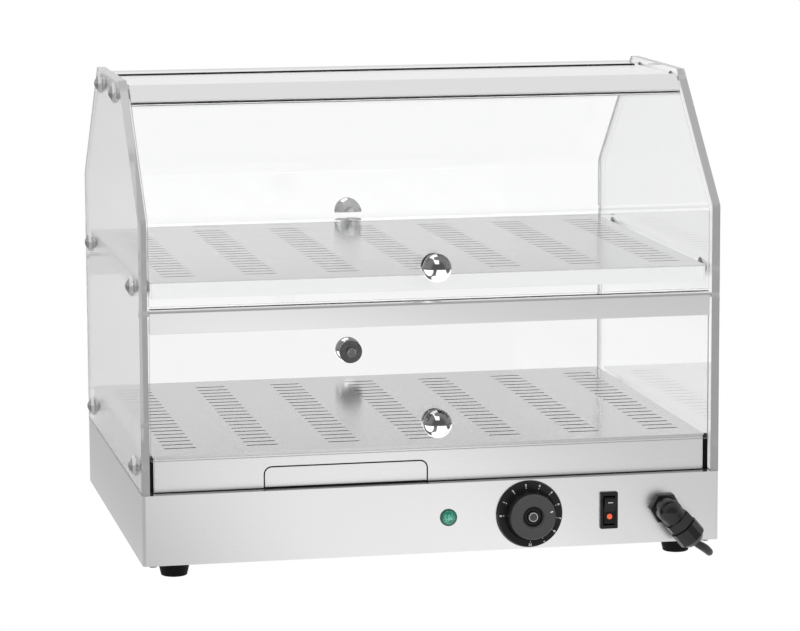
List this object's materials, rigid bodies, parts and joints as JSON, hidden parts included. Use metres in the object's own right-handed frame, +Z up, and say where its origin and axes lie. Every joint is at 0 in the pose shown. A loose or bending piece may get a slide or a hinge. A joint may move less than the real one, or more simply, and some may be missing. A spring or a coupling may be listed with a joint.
{
  "type": "heated display case",
  "caption": "Countertop heated display case with a steel base, slotted deck and shelf, clear side panels and hinged clear flap doors on both faces.",
  "frame": {"origin": "on the floor under the middle of the case, measured without the mains lead and its gland", "axes": "+X to the right along the width, the front with the controls faces -Y, +Z up"},
  "size_m": [0.5118, 0.5552, 0.412],
  "materials": {
    "brushed_steel": "fine brushed",
    "black_rubber": "matte",
    "zinc_screw": "nickel plated",
    "black_plastic": "satin moulded",
    "heater_sheath": "heat tinted",
    "green_lens": "faceted, glossy",
    "clear_acrylic": "clear, polished edges",
    "chrome": "polished chrome",
    "steel_pin": "turned",
    "satin_steel": "satin, brushed along its length",
    "grey_nylon": "matte",
    "nickel": "nickel plated",
    "white_plastic": "moulded",
    "grey_metal": "zinc plated",
    "copper": "copper tube"
  },
  "bodies": {
    "case": {"base_housing": "brushed_steel", "bottom_plate": "brushed_steel", "cord": "black_rubber", "cord_coil": "black_rubber", "cord_tail": "black_rubber", "cup_washers": "zinc_screw", "deck_frame": "brushed_steel", "drawer_guides": "brushed_steel", "foot_screws": "zinc_screw", "gland_cap": "black_plastic", "gland_elbow": "black_plastic", "gland_locknut": "black_plastic", "gland_seal": "black_rubber", "heater_brackets": "brushed_steel", "heating_element": "heater_sheath", "lamp_bezel": "black_plastic", "lamp_body": "black_plastic", "lamp_lens": "green_lens", "lower_deck": "brushed_steel", "panel_nuts": "zinc_screw", "panel_screws": "zinc_screw", "panel_spacers": "grey_nylon", "plate_screws": "zinc_screw", "plug_body": "black_rubber", "plug_pins": "nickel", "roof_panel": "brushed_steel", "rubber_feet": "black_rubber", "shelf_frame": "brushed_steel", "side_panel_left": "clear_acrylic", "side_panel_right": "clear_acrylic", "switch_body": "black_plastic", "terminal_block": "white_plastic", "thermostat_body": "grey_metal", "thermostat_capillary": "copper", "upper_shelf": "brushed_steel"},
    "upper_front_flap": {"upper_front_rail": "satin_steel", "upper_front_door": "clear_acrylic", "upper_front_pins": "steel_pin", "upper_front_knob": "chrome", "upper_front_knob_screw": "zinc_screw"},
    "upper_rear_flap": {"upper_rear_rail": "satin_steel", "upper_rear_door": "clear_acrylic", "upper_rear_pins": "steel_pin", "upper_rear_knob": "chrome", "upper_rear_knob_screw": "zinc_screw"},
    "lower_front_flap": {"lower_front_rail": "satin_steel", "lower_front_door": "clear_acrylic", "lower_front_pins": "steel_pin", "lower_front_knob": "chrome", "lower_front_knob_screw": "zinc_screw"},
    "lower_rear_flap": {"lower_rear_rail": "satin_steel", "lower_rear_door": "clear_acrylic", "lower_rear_pins": "steel_pin", "lower_rear_knob": "chrome", "lower_rear_knob_screw": "zinc_screw"},
    "drawer": {"drawer_tray": "brushed_steel", "drawer_front": "brushed_steel"},
    "temperature_knob": {"thermostat_knob": "black_plastic"},
    "rocker": {"switch_rocker": "black_plastic"}
  },
  "joints": [
    {"name": "upper_front_door_hinge", "type": "hinge", "parent": "case", "child": "upper_front_flap", "pos_m": [0, -0.07865, 0.404], "axis": [-1, 0, 0], "range_deg": [0, 95]},
    {"name": "upper_rear_door_hinge", "type": "hinge", "parent": "case", "child": "upper_rear_flap", "pos_m": [0, 0.07865, 0.404], "axis": [1, 0, 0], "range_deg": [0, 95]},
    {"name": "lower_front_door_hinge", "type": "hinge", "parent": "case", "child": "lower_front_flap", "pos_m": [0, -0.186, 0.227], "axis": [-1, 0, 0], "range_deg": [0, 88]},
    {"name": "lower_rear_door_hinge", "type": "hinge", "parent": "case", "child": "lower_rear_flap", "pos_m": [0, 0.186, 0.227], "axis": [1, 0, 0], "range_deg": [0, 88]},
    {"name": "drawer_slide", "type": "slide", "parent": "case", "child": "drawer", "axis": [0, -1, 0], "range_m": [0, 0.22]},
    {"name": "temperature_knob_turn", "type": "hinge", "parent": "case", "child": "temperature_knob", "pos_m": [0.082, -0.192, 0.0442], "axis": [0, 1, 0], "range_deg": [0, 280]},
    {"name": "rocker_tilt", "type": "hinge", "parent": "case", "child": "rocker", "pos_m": [0.152, -0.1905, 0.0442], "axis": [1, 0, 0], "range_deg": [-16, 0]}
  ]
}
